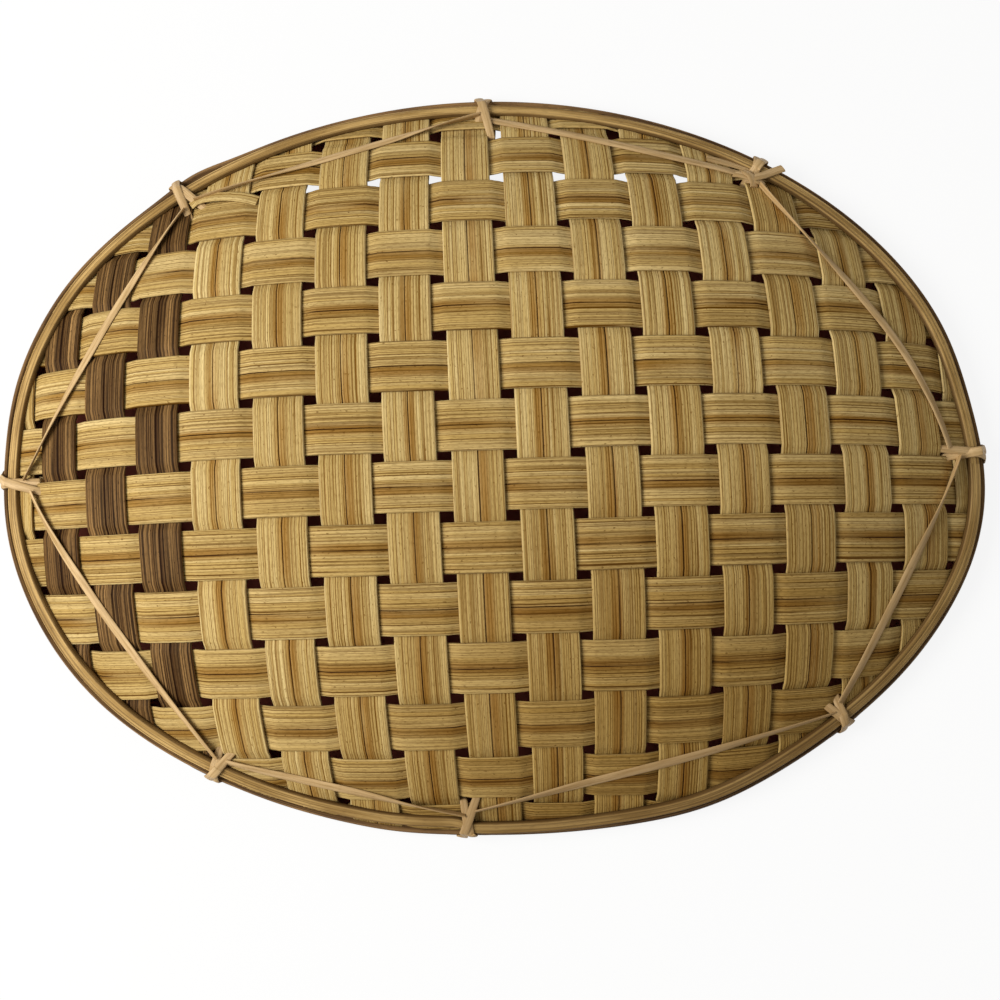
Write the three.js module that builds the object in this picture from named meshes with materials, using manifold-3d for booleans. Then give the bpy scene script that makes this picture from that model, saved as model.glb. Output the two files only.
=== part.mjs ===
// Oval rattan tray, lying face down: a woven dome held by two hoops and a cane lacing.
// Millimetres, +Z up, X along the tray, the rim rests on z = 0.
import * as THREE from 'three';
import { mergeVertices } from 'three/addons/utils/BufferGeometryUtils.js';
import Module from 'manifold-3d';

const wasm = await Module();
wasm.setup();

// Bowl: an oval dome that drops from its middle as a power of the way to the line where the hoops grip it
const bowlLength = 330.5;
const bowlWidth = 247.9;
const bowlRise = 36;
const bowlRoundness = 2.8;

// Weave: strip widths and the open gaps between neighbours
const crossStripWidth = 17.2;
const crossGap = 4.45;
const smokedStripWidth = 15.5;
const smokedGap = 4.34;
const longStripWidth = 16.9;
const longGap = 2.93;
const stripThickness = 0.8;
const layerGap = 0.3;
const weaveShiftX = 8.13;
const weaveShiftY = -1.19;
const weaveTurn = THREE.MathUtils.degToRad(1.95);
const weaveSlant = THREE.MathUtils.degToRad(1.2);
const stripReach = 2;

// Hoops
const outerHoopWidth = 4.3;
const outerHoopThickness = 2.6;
const outerHoopShoulder = 1.56;
const outerHoopCrown = 2.15;
const innerHoopWidth = 5.4;
const innerHoopDepth = 2.4;
const innerHoopStart = 0.8;
const innerHoopChamfer = 1.9;
const footHeight = 0.9;
const footInset = 0.5;
const hoopSegments = 96;

// Lacing: one flat cane strand
const laceWidth = 3;
const laceThickness = 0.8;
const laceGap = 0.8;
const laceOverlapGap = 0.75;
const tieAngles = [54.8, 1.7, -43.8, -92.4, -124.2, -176.1, 130.8, 90];

// Fits
const clearance = 0.3;
const facetAllowance = 0.4;
const slotClearance = 0.5;
const wrapClearance = 0.45;
const tableGap = 0.3;

// Values that follow from the sizes above
const halfLength = bowlLength / 2;
const halfWidth = bowlWidth / 2;
const crossPitch = crossStripWidth + crossGap;
const smokedPitch = smokedStripWidth + smokedGap;
const longPitch = longStripWidth + longGap;
const layerOffset = (stripThickness + layerGap) / 2;
const weaveHalf = stripThickness + layerGap / 2;
const innerHoopTop = -(weaveHalf + facetAllowance + clearance);
const outerHoopBottom = weaveHalf + clearance;
const steepest = Math.atan(bowlRise * bowlRoundness / halfWidth);
const gripHeight = footHeight + (innerHoopStart + innerHoopWidth) * Math.sin(steepest)
  - innerHoopTop * Math.cos(steepest);
const notchHeight = tableGap + laceThickness + wrapClearance;
const wrapOffset = wrapClearance + laceThickness / 2;
const tieStep = laceWidth + laceGap;

// Dome surface
function ovalRadius(x, y) {
  return Math.hypot(x / halfLength, y / halfWidth);
}

function domeHeight(x, y) {
  return gripHeight + bowlRise * (1 - ovalRadius(x, y) ** bowlRoundness);
}

function domeNormal(x, y) {
  const r = Math.max(ovalRadius(x, y), 1e-6);
  const k = bowlRise * bowlRoundness * r ** (bowlRoundness - 2);
  return new THREE.Vector3(k * x / halfLength ** 2, k * y / halfWidth ** 2, 1).normalize();
}

// A point of the flat weave laid on the dome, keeping its distance from the middle
const drapeSteps = 24;
const drapeTurns = 8;

function drape(x, y) {
  const flat = Math.hypot(x, y);
  if (flat < 1e-6) return { x, y };
  const stretch = ovalRadius(x / flat, y / flat);
  const slope = (t) => bowlRise * bowlRoundness * stretch * (t * stretch) ** (bowlRoundness - 1);
  const speed = (t) => Math.hypot(1, slope(t));
  let reach = flat;
  for (let turn = 0; turn < drapeTurns; turn += 1) {
    const step = reach / drapeSteps;
    let arc = 0;
    for (let i = 0; i < drapeSteps; i += 1) {
      arc += speed((i + 0.5) * step) * step;
    }
    reach -= (arc - flat) / speed(reach);
  }
  return { x: x * reach / flat, y: y * reach / flat };
}

function weavePoint(u, v) {
  const x = u * Math.cos(weaveTurn) - v * Math.sin(weaveTurn + weaveSlant);
  const y = u * Math.sin(weaveTurn) + v * Math.cos(weaveTurn + weaveSlant);
  const on = drape(x, y);
  const at = new THREE.Vector3(on.x, on.y, domeHeight(on.x, on.y));
  return { at, normal: domeNormal(on.x, on.y) };
}

// Where each strip runs in the flat weave
const smokedFirst = -8;
const smokedLast = -6;

function crossStrip(index) {
  const smokedEdge = (smokedLast + 1) * crossPitch + weaveShiftX;
  const natural = { width: crossStripWidth, smoked: false };
  if (index > smokedLast) return { ...natural, middle: (index + 0.5) * crossPitch + weaveShiftX };
  if (index < smokedFirst) {
    const farEdge = smokedEdge - (smokedLast - smokedFirst + 1) * smokedPitch;
    return { ...natural, middle: farEdge - (smokedFirst - index - 0.5) * crossPitch };
  }
  const middle = smokedEdge - (smokedLast - index + 0.5) * smokedPitch;
  return { width: smokedStripWidth, smoked: true, middle };
}

function longStrip(index) {
  return { width: longStripWidth, smoked: false, middle: (index + 0.5) * longPitch + weaveShiftY };
}

// Closed bodies from rows of points: a tube with ends, or a ring
function bodyFromRows(rows, isRing) {
  const sides = rows[0].length;
  const positions = rows.flat().flatMap((p) => [p.x, p.y, p.z]);
  const index = [];
  const spans = isRing ? rows.length : rows.length - 1;
  for (let i = 0; i < spans; i += 1) {
    const here = i * sides;
    const next = ((i + 1) % rows.length) * sides;
    for (let k = 0; k < sides; k += 1) {
      const m = (k + 1) % sides;
      if (k === 2) index.push(here + k, next + k, here + m, here + m, next + k, next + m);
      else index.push(here + k, next + k, next + m, here + k, next + m, here + m);
    }
  }
  if (!isRing) {
    const last = (rows.length - 1) * sides;
    for (let k = 1; k < sides - 1; k += 1) {
      index.push(0, k, k + 1);
      index.push(last, last + k + 1, last + k);
    }
  }
  const geometry = new THREE.BufferGeometry();
  geometry.setAttribute('position', new THREE.Float32BufferAttribute(positions, 3));
  geometry.setIndex(index);
  return faceOut(geometry);
}

function faceOut(geometry) {
  const p = geometry.attributes.position;
  const index = geometry.index;
  const [a, b, c] = [new THREE.Vector3(), new THREE.Vector3(), new THREE.Vector3()];
  let volume = 0;
  for (let i = 0; i < index.count; i += 3) {
    a.fromBufferAttribute(p, index.getX(i));
    b.fromBufferAttribute(p, index.getX(i + 1));
    c.fromBufferAttribute(p, index.getX(i + 2));
    volume += a.dot(b.cross(c));
  }
  if (volume < 0) {
    for (let i = 0; i < index.count; i += 3) {
      const keep = index.getX(i + 1);
      index.setX(i + 1, index.getX(i + 2));
      index.setX(i + 2, keep);
    }
  }
  return geometry;
}

function toSolid(geometry) {
  const plain = new THREE.BufferGeometry();
  plain.setAttribute('position', geometry.attributes.position);
  if (geometry.index) plain.setIndex(geometry.index);
  const merged = mergeVertices(plain, 1e-5);
  const vertProperties = new Float32Array(merged.attributes.position.array);
  const triVerts = new Uint32Array(merged.index.array);
  return new wasm.Manifold(new wasm.Mesh({ numProp: 3, vertProperties, triVerts }));
}

function fromSolid(solid) {
  const mesh = solid.getMesh();
  const geometry = new THREE.BufferGeometry();
  const points = [];
  for (let i = 0; i < mesh.vertProperties.length; i += mesh.numProp) {
    points.push(mesh.vertProperties[i], mesh.vertProperties[i + 1], mesh.vertProperties[i + 2]);
  }
  geometry.setAttribute('position', new THREE.Float32BufferAttribute(points, 3));
  geometry.setIndex(Array.from(mesh.triVerts));
  return geometry;
}

function largestPiece(solid) {
  let best = null;
  for (const piece of solid.decompose()) {
    if (!best || piece.volume() > best.volume()) best = piece;
  }
  return best;
}

// One woven strip: flat over and under each crossing, sloping in the gaps between
function stripRows(own, crossings, isCross, ownIndex) {
  const rows = [];
  for (const crossing of crossings) {
    const isOver = (ownIndex + crossing.index) % 2 === 0 ? isCross : !isCross;
    const level = isOver ? layerOffset : -layerOffset;
    for (const end of [-0.5, 0.5]) {
      const along = crossing.middle + end * crossing.width;
      const low = own.middle - own.width / 2;
      const high = own.middle + own.width / 2;
      const a = isCross ? weavePoint(low, along) : weavePoint(along, low);
      const b = isCross ? weavePoint(high, along) : weavePoint(along, high);
      const top = level + stripThickness / 2;
      const bottom = level - stripThickness / 2;
      rows.push([
        a.at.clone().addScaledVector(a.normal, top),
        b.at.clone().addScaledVector(b.normal, top),
        b.at.clone().addScaledVector(b.normal, bottom),
        a.at.clone().addScaledVector(a.normal, bottom),
      ]);
    }
  }
  return rows;
}

const weaveSpan = Math.ceil(bowlLength / Math.min(crossPitch, smokedPitch, longPitch));
const trimLength = halfLength + stripReach;
const trimWidth = halfWidth + stripReach;

function isInsideTrim(p) {
  return Math.hypot(p.x / trimLength, p.y / trimWidth) < 1;
}

function crossingsOf(own, isCross) {
  const all = [];
  for (let index = -weaveSpan; index <= weaveSpan; index += 1) {
    const other = isCross ? longStrip(index) : crossStrip(index);
    let isInside = false;
    for (const side of [-0.5, 0, 0.5]) {
      for (const end of [-0.5, 0, 0.5]) {
        const across = own.middle + side * own.width;
        const along = other.middle + end * other.width;
        const p = isCross ? weavePoint(across, along) : weavePoint(along, across);
        if (isInsideTrim(p.at)) isInside = true;
      }
    }
    all.push({ ...other, index, isInside });
  }
  const first = all.findIndex((c) => c.isInside);
  const last = all.findLastIndex((c) => c.isInside);
  return first < 0 ? [] : all.slice(first - 1, last + 2);
}

// Rim: a vertical cut through the hoops, n outward from the grip line and z up
function rimFrame(angle, along) {
  const start = THREE.MathUtils.degToRad(angle);
  const speed = Math.hypot(halfLength * Math.sin(start), halfWidth * Math.cos(start));
  const phi = start + along / speed;
  const x = halfLength * Math.cos(phi);
  const y = halfWidth * Math.sin(phi);
  const out = new THREE.Vector3(x / halfLength ** 2, y / halfWidth ** 2, 0);
  const slope = Math.atan(bowlRise * bowlRoundness * out.length());
  return { x, y, out: out.normalize(), slope };
}

function onWall(frame, s, h) {
  const n = s * Math.cos(frame.slope) + h * Math.sin(frame.slope);
  const z = gripHeight - s * Math.sin(frame.slope) + h * Math.cos(frame.slope);
  return { n, z };
}

function outerSection(frame) {
  const half = outerHoopWidth / 2;
  const shoulder = outerHoopBottom + outerHoopShoulder;
  const crown = outerHoopBottom + outerHoopThickness;
  return [
    onWall(frame, -half, outerHoopBottom),
    onWall(frame, -half, shoulder),
    onWall(frame, -outerHoopCrown / 2, crown),
    onWall(frame, outerHoopCrown / 2, crown),
    onWall(frame, half, shoulder),
    onWall(frame, half, outerHoopBottom),
  ];
}

function innerSection(frame) {
  const near = onWall(frame, innerHoopStart, innerHoopTop);
  const far = onWall(frame, innerHoopStart + innerHoopWidth, innerHoopTop);
  return [
    near,
    far,
    { n: far.n - footInset, z: 0 },
    { n: near.n + innerHoopChamfer, z: 0 },
    { n: near.n, z: near.z - innerHoopDepth },
  ];
}

function placeOnRim(frame, point) {
  const at = new THREE.Vector3(frame.x, frame.y, point.z);
  return at.addScaledVector(frame.out, point.n);
}

function hoopBody(section) {
  const rows = [];
  for (let i = 0; i < hoopSegments; i += 1) {
    const frame = rimFrame(360 * i / hoopSegments, 0);
    rows.push(section(frame).map((point) => placeOnRim(frame, point)));
  }
  return bodyFromRows(rows, true);
}

// Section cut off below a level, for the notches that the lacing passes through
function cutBelow(section, level) {
  const kept = [];
  section.forEach((a, i) => {
    const b = section[(i + 1) % section.length];
    if (a.z >= level) kept.push(a);
    if ((a.z >= level) !== (b.z >= level)) {
      const f = (level - a.z) / (b.z - a.z);
      kept.push({ n: a.n + f * (b.n - a.n), z: level });
    }
  });
  return kept;
}

// Lacing stations: a place and the way its flat face looks
function wrapStation(angle, alpha, along, lift) {
  const frame = rimFrame(angle, along);
  const corners = outerSection(frame).concat(cutBelow(innerSection(frame), notchHeight));
  const turn = THREE.MathUtils.degToRad(alpha);
  const [c, s] = [Math.cos(turn), Math.sin(turn)];
  const reach = (p) => p.n * c + p.z * s;
  const corner = corners.reduce((best, p) => (reach(p) > reach(best) ? p : best));
  const offset = wrapOffset + lift;
  const at = placeOnRim(frame, { n: corner.n + c * offset, z: corner.z + s * offset });
  const face = frame.out.clone().multiplyScalar(c);
  face.z = s;
  return { at, face };
}

function layHeight(twist) {
  const across = Math.abs(Math.cos(twist)) * laceThickness + Math.abs(Math.sin(twist)) * laceWidth;
  return weaveHalf + clearance + across / 2;
}

function layStation(x, y, lift, twist, heading) {
  const normal = domeNormal(x, y);
  const at = new THREE.Vector3(x, y, domeHeight(x, y)).addScaledVector(normal, layHeight(twist) + lift);
  const side = new THREE.Vector3().crossVectors(normal, heading).normalize();
  const face = normal.clone().multiplyScalar(Math.cos(twist)).addScaledVector(side, Math.sin(twist));
  return { at, face };
}

function nearTie(angle, along, s, lift, alpha) {
  const frame = rimFrame(angle, along);
  const n = s * Math.cos(frame.slope);
  const x = frame.x + frame.out.x * n;
  const y = frame.y + frame.out.y * n;
  const station = layStation(x, y, lift, 0, new THREE.Vector3(1, 0, 0));
  if (alpha !== undefined) {
    const turn = THREE.MathUtils.degToRad(alpha);
    station.face = frame.out.clone().multiplyScalar(Math.cos(turn));
    station.face.z = Math.sin(turn);
  }
  return station;
}

const tieAt = {
  enter: -1.45 * tieStep,
  outsideRight: 0.8 * tieStep,
  pierceRight: 0.82 * tieStep,
  riseRight: tieStep,
  outsideLeft: -0.95 * tieStep,
  pierceLeft: -0.2 * tieStep,
};
const wrapTurn = 18;
const wrapTop = 125;
const wrapOutside = wrapTop - 8 * wrapTurn;
const wrapUnder = wrapTop - 15 * wrapTurn;
const wrapInside = wrapTop - 17 * wrapTurn;
const wrapRise = wrapTop - 18.5 * wrapTurn;
const wrapEnd = wrapTop - 20 * wrapTurn;
const liftUntil = 0;
const liftGone = -40;

function between(value, from, to, a, b) {
  const f = THREE.MathUtils.clamp((value - from) / (to - from), 0, 1);
  return a + f * (b - a);
}

// One turn round both hoops, moved along the rim in step with the length of strand used
function wrap(angle, stops, liftOf) {
  const turns = [];
  for (let alpha = stops[0].alpha; alpha >= stops.at(-1).alpha; alpha -= wrapTurn) turns.push(alpha);
  const flat = turns.map((alpha) => wrapStation(angle, alpha, 0, 0).at);
  let length = 0;
  const run = flat.map((at, k) => {
    length += k > 0 ? at.distanceTo(flat[k - 1]) : 0;
    return length;
  });
  const runAt = (stop) => run[turns.indexOf(stop.alpha)];
  return turns.map((alpha, k) => {
    const i = Math.min(stops.findLastIndex((stop) => stop.alpha >= alpha), stops.length - 2);
    const along = between(run[k], runAt(stops[i]), runAt(stops[i + 1]), stops[i].along, stops[i + 1].along);
    return wrapStation(angle, alpha, along, liftOf(alpha));
  });
}

const liftOver = laceThickness + laceOverlapGap;

function firstWrap(angle) {
  const stops = [
    { alpha: wrapTop, along: tieAt.enter },
    { alpha: wrapOutside, along: tieAt.outsideRight },
    { alpha: wrapUnder, along: tieAt.pierceRight },
    { alpha: wrapInside, along: tieAt.pierceRight },
    { alpha: wrapEnd, along: tieAt.riseRight },
  ];
  const stations = wrap(angle, stops, (alpha) => between(alpha, wrapRise, wrapEnd, 0, liftOver));
  stations.pop();
  return stations;
}

function secondWrap(angle) {
  const stops = [
    { alpha: wrapTop, along: tieAt.riseRight },
    { alpha: wrapOutside, along: tieAt.outsideLeft },
    { alpha: wrapUnder, along: tieAt.pierceLeft },
    { alpha: wrapInside, along: tieAt.pierceLeft },
  ];
  return wrap(angle, stops, (alpha) => between(alpha, liftUntil, liftGone, liftOver, 0));
}

function intoTie(angle) {
  return [
    nearTie(angle, tieAt.enter - 1.6 * tieStep, -2.1 * tieStep, 0),
    nearTie(angle, tieAt.enter - 0.7 * tieStep, -1.6 * tieStep, 0),
    nearTie(angle, tieAt.enter - 0.2 * tieStep, -1.2 * tieStep, 0.8, 90),
  ];
}

function outOfTie(angle) {
  return [
    nearTie(angle, tieAt.pierceLeft, -0.95 * tieStep, 0.75, 215),
    nearTie(angle, tieAt.pierceLeft + 0.1 * tieStep, -1.35 * tieStep, 0.15, 238),
    nearTie(angle, tieAt.pierceLeft + 0.6 * tieStep, -1.75 * tieStep, 0, 240),
    nearTie(angle, tieAt.pierceLeft + 1.4 * tieStep, -2 * tieStep, 0, 240),
  ];
}

// Span from tie to tie, lying on the dome and turned over once on its way
function span(from, to) {
  const steps = 10;
  const heading = to.at.clone().sub(from.at).normalize();
  const stations = [];
  for (let i = 1; i < steps; i += 1) {
    const f = i / steps;
    const twist = Math.PI * (1 - THREE.MathUtils.smoothstep(f, 0.15, 0.85));
    const x = from.at.x + f * (to.at.x - from.at.x);
    const y = from.at.y + f * (to.at.y - from.at.y);
    stations.push(layStation(x, y, 0, twist, heading));
  }
  return stations;
}

function lacingStations() {
  const first = tieAngles[0];
  const stations = [
    nearTie(first, -4.6 * tieStep, -1.2 * tieStep, 0),
    nearTie(first, -3.4 * tieStep, -1.22 * tieStep, 0),
    nearTie(first, -2.2 * tieStep, -1.25 * tieStep, 0),
    nearTie(first, tieAt.enter - 0.25 * tieStep, -1.2 * tieStep, 0.7, 90),
  ];
  tieAngles.forEach((angle, i) => {
    if (i > 0) {
      const entry = intoTie(angle);
      stations.push(...span(stations[stations.length - 1], entry[0]), ...entry);
    }
    stations.push(...firstWrap(angle), ...secondWrap(angle), ...outOfTie(angle));
  });
  const close = [
    nearTie(first, -2.8 * tieStep, -3 * tieStep, 0),
    nearTie(first, -0.6 * tieStep, -3.1 * tieStep, 0),
    nearTie(first, 0.7 * tieStep, -2.95 * tieStep, liftOver),
    nearTie(first, 1.6 * tieStep, -2.4 * tieStep, liftOver),
    nearTie(first, 2.4 * tieStep, -1.7 * tieStep, liftOver),
    nearTie(first, 3.1 * tieStep, -1.2 * tieStep, 0.3),
  ];
  stations.push(...span(stations[stations.length - 1], close[0]), ...close);
  return stations;
}

function laceRows(stations, width, thickness) {
  return stations.map((station, i) => {
    const before = stations[Math.max(i - 1, 0)].at;
    const after = stations[Math.min(i + 1, stations.length - 1)].at;
    const tangent = after.clone().sub(before).normalize();
    const face = station.face.clone().addScaledVector(tangent, -station.face.dot(tangent)).normalize();
    const side = new THREE.Vector3().crossVectors(tangent, face);
    const corner = (a, b) => station.at.clone()
      .addScaledVector(side, a * width / 2).addScaledVector(face, b * thickness / 2);
    return [corner(-1, 1), corner(1, 1), corner(1, -1), corner(-1, -1)];
  });
}

// Least gap of the lacing to itself, measured on points of its outline
function leastGap(rows) {
  const shares = [0, 0.25, 0.5, 0.75];
  const outline = rows.map((row) => row.flatMap((p, k) => {
    const next = row[(k + 1) % row.length];
    return shares.map((f) => p.clone().lerp(next, f));
  }));
  const middles = rows.map((row) => row[0].clone().add(row[2]).multiplyScalar(0.5));
  let run = 0;
  const runs = middles.map((middle, i) => {
    run += i > 0 ? middle.distanceTo(middles[i - 1]) : 0;
    return run;
  });
  let least = Infinity;
  for (let i = 0; i < rows.length; i += 1) {
    for (let j = i + 1; j < rows.length; j += 1) {
      const isFar = rows[i][0].distanceTo(rows[j][0]) > 3 * laceWidth;
      if (isFar || runs[j] - runs[i] < 3 * laceWidth) continue;
      for (const p of outline[i]) {
        for (const q of outline[j]) {
          least = Math.min(least, p.distanceTo(q));
        }
      }
    }
  }
  return least;
}

// Materials
function materialOf(colour, roughness) {
  return new THREE.MeshStandardMaterial({ color: colour, roughness, metalness: 0 });
}

function addPiece(group, name, geometry, colour, roughness) {
  const flat = geometry.toNonIndexed();
  flat.computeVertexNormals();
  const mesh = new THREE.Mesh(flat, materialOf(colour, roughness));
  mesh.name = name;
  group.add(mesh);
}

const tray = new THREE.Group();
tray.name = 'rattan_tray';

const stations = lacingStations();
const lacing = laceRows(stations, laceWidth, laceThickness);
const gap = leastGap(lacing);
console.log(`lacing: ${lacing.length} stations, least gap to itself ${gap.toFixed(2)} mm`);

// Slots in the weave where the lacing goes through, one at each tie for both turns
function slotBody(angle) {
  const ends = [
    tieAt.pierceLeft - laceWidth / 2 - slotClearance,
    tieAt.riseRight + laceWidth / 2 + slotClearance,
  ];
  const rows = ends.map((along) => {
    const frame = rimFrame(angle, along);
    const under = { n: innerSection(frame)[4].n - wrapOffset, z: innerSection(frame)[4].z };
    const over = { n: outerSection(frame)[0].n - wrapOffset, z: outerSection(frame)[0].z + stripThickness };
    const half = laceThickness / 2 + slotClearance;
    return [
      { n: under.n - half, z: under.z },
      { n: over.n - half, z: over.z },
      { n: over.n + half, z: over.z },
      { n: under.n + half, z: under.z },
    ].map((point) => placeOnRim(frame, point));
  });
  return bodyFromRows(rows, false);
}

let slots = null;
for (const angle of tieAngles) {
  const slot = toSolid(slotBody(angle));
  slots = slots ? slots.add(slot) : slot;
}

const trimShape = new THREE.Shape();
trimShape.absellipse(0, 0, trimLength, trimWidth, 0, Math.PI * 2, false, 0);
const trimPrism = new THREE.ExtrudeGeometry(trimShape, {
  depth: bowlRise * 4, bevelEnabled: false, curveSegments: 48,
});
trimPrism.translate(0, 0, -bowlRise);
const trim = toSolid(trimPrism);

function addStrips(isCross) {
  let count = 0;
  for (let index = -weaveSpan; index <= weaveSpan; index += 1) {
    const own = isCross ? crossStrip(index) : longStrip(index);
    const crossings = crossingsOf(own, isCross);
    if (crossings.length === 0) continue;
    const whole = toSolid(bodyFromRows(stripRows(own, crossings, isCross, index), false));
    const solid = largestPiece(whole.intersect(trim).subtract(slots)).simplify(0.02);
    count += 1;
    const name = `${isCross ? 'crosswise' : 'lengthwise'}_strip_${String(count).padStart(2, '0')}`;
    addPiece(tray, name, fromSolid(solid), own.smoked ? '#5E4630' : '#C6A468', 0.6);
  }
}

addStrips(true);
addStrips(false);

addPiece(tray, 'outer_hoop', hoopBody(outerSection), '#A98A56', 0.55);

// Notches under the inner hoop, one at each tie
let innerHoop = toSolid(hoopBody(innerSection));
for (const angle of tieAngles) {
  const left = tieAt.outsideLeft - laceWidth / 2 - 2 * clearance;
  const right = tieAt.riseRight + laceWidth / 2 + 2 * clearance;
  const frame = rimFrame(angle, (left + right) / 2);
  const box = new THREE.BoxGeometry(4 * innerHoopWidth, right - left, notchHeight * 2);
  box.rotateZ(Math.atan2(frame.out.y, frame.out.x));
  box.translate(frame.x, frame.y, 0);
  innerHoop = innerHoop.subtract(toSolid(box));
}
addPiece(tray, 'inner_hoop', fromSolid(innerHoop), '#8A6A3E', 0.6);

addPiece(tray, 'cane_lacing', bodyFromRows(lacing, false), '#CDAF86', 0.5);

export default tray;
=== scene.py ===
import math
import random

import bmesh
import bpy
import numpy as np
from mathutils import Matrix, Vector


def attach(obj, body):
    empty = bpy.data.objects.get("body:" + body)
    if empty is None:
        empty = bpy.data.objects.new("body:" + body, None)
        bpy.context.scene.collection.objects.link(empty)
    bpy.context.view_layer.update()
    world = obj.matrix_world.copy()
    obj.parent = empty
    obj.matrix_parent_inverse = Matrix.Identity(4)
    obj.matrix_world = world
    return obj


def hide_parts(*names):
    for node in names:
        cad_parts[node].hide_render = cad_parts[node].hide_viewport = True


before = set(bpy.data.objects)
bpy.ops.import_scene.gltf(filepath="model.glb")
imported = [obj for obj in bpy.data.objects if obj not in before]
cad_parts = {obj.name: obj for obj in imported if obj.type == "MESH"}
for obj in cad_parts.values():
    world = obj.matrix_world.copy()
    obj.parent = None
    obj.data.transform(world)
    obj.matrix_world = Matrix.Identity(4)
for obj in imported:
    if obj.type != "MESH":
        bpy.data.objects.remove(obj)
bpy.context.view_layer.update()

mm = 0.001
tiny = 1e-6
fullTurn = 6.28  # radians in a wave


def colour(hexText):  # sRGB hex to linear
    parts = [int(hexText[i:i + 2], 16) / 255 for i in (1, 3, 5)]
    linear = [p / 12.92 if p <= 0.04045 else ((p + 0.055) / 1.055) ** 2.4 for p in parts]
    return (*linear, 1)


def addNode(tree, kind, settings=None, inputs=None):
    node = tree.nodes.new(kind)
    for name, value in (settings or {}).items():
        setattr(node, name, value)
    for key, value in (inputs or {}).items():
        if isinstance(value, bpy.types.NodeSocket):
            tree.links.new(value, node.inputs[key])
        else:
            node.inputs[key].default_value = value
    return node.outputs


def addObject(name, data):
    piece = bpy.data.objects.new(name, data)
    bpy.context.scene.collection.objects.link(piece)
    return piece


# A node for each row: name of its result, what it works out, and from what, by name or as a number
def workOut(tree, values, rows):
    for name, operation, *sides in rows:
        kind, settings = "ShaderNodeMath", {"operation": operation}
        if operation in ("LENGTH", "DISTANCE", "NORMALIZE"):
            kind = "ShaderNodeVectorMath"
        if operation == "COMBINE":
            kind, settings = "ShaderNodeCombineXYZ", {}
        links = {i: values[side] if isinstance(side, str) else side for i, side in enumerate(sides)}
        result = addNode(tree, kind, settings, links)
        values[name] = result["Vector" if operation in ("COMBINE", "NORMALIZE") else "Value"]


# Camera: nearly overhead, a little from the front, at the photograph's framing
view = {
    "target": Vector((0, 0, 3.1 * mm)), "distance": 664 * mm,
    "lean": 0.116, "aside": 0.245, "roll": 0.2395,  # radians
    "lens": 69.47, "sensor": 36, "shift": (0.0122, -0.0361),
}


def makeCamera():
    toward = Vector((
        math.sin(view["aside"]) * math.sin(view["lean"]),
        -math.cos(view["aside"]) * math.sin(view["lean"]),
        math.cos(view["lean"]),
    ))
    level = Vector((math.cos(view["aside"]), math.sin(view["aside"]), 0))
    upright = toward.cross(level)
    c, s = math.cos(view["roll"]), math.sin(view["roll"])
    right = c * level - s * upright
    up = s * level + c * upright
    data = bpy.data.cameras.new("camera")
    data.sensor_width = view["sensor"]
    data.lens = view["lens"]
    data.shift_x, data.shift_y = view["shift"]
    camera = addObject("camera", data)
    axes = Matrix((right, up, toward)).transposed().to_4x4()
    camera.matrix_world = Matrix.Translation(view["target"] + view["distance"] * toward) @ axes
    bpy.context.scene.camera = camera


makeCamera()
print("camera set")


# Bowl that the weave lies on, and the wall of the rim
bowl = {"halfLength": 165.25 * mm, "halfWidth": 123.95 * mm, "rise": 36 * mm, "roundness": 2.8}
hoop = {
    "outerInside": 3.6 * mm, "outerOutside": 0.4 * mm, "outerBottom": 1.25 * mm, "outerThickness": 2.0 * mm,
    "outerTilt": 0.5 * mm,  # how much thicker it is along its outer side
    # its section in shares across and up: as the lacing feels it, and flat-topped with two shallow grooves
    "outerCorners": [(0, 0), (0, 0.8), (0.12, 1), (0.9, 1), (1, 0.6), (1, 0)],
    "outerShape": [(0.01, 0), (-0.01, 0.35), (0, 0.72), (0.025, 0.88), (0.08, 0.96), (0.24, 0.99),
                   (0.3, 0.94), (0.36, 0.99), (0.52, 1), (0.62, 0.99), (0.67, 0.95), (0.72, 0.99),
                   (0.88, 0.96), (0.95, 0.86), (1, 0.6), (1, 0.25), (0.97, 0)],
    "innerWidth": 5.4 * mm, "innerStart": 0.8 * mm, "innerTop": -1.65 * mm, "innerDepth": 2.4 * mm,
    "innerChamfer": 1.9 * mm, "foot": 0.9 * mm, "footInset": 0.5 * mm,
    "innerOut": 0.35 * mm,  # how far the inner hoop stands out past its true place
    "lip": [(2.3, -1.2), (2.5, 0.3), (2.9, 1.5), (3.3, 1.55), (3.7, 1.1)],  # mm, past the strip ends
    "roundNear": 0.3 * mm, "roundLip": 0.1 * mm, "roundFar": 0.2 * mm,  # how far its sides swell
    "notch": 1.55 * mm, "notchReach": 5.5 * mm,  # its foot is cut away under each tie
    "stations": 480, "wobble": 0.25 * mm, "wobbleWaves": 4, "wobbleTurns": (2, 9),
    # angle, spread and way out: where the inner hoop springs free and the outer one leaves its line
    "bulges": [(-4, 8, 0.3 * mm), (128, 4.5, 1.5 * mm)],
    "outerSet": [(80, 25, -0.9 * mm), (165, 30, -0.7 * mm), (-35, 40, 0.3 * mm)],
    # where the ends of the outer hoop lie beside each other: angle, way, degrees to part and to join again
    "lap": (-92.4, 1.1 * mm, 0.8, 16),
}
halfLength, halfWidth = bowl["halfLength"], bowl["halfWidth"]
steepness = bowl["rise"] * bowl["roundness"]
steepest = math.atan(steepness / halfWidth)
gripHeight = (hoop["foot"] + (hoop["innerStart"] + hoop["innerWidth"]) * math.sin(steepest)
              - hoop["innerTop"] * math.cos(steepest))


def ovalRadius(x, y):
    return math.hypot(x / halfLength, y / halfWidth)


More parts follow.
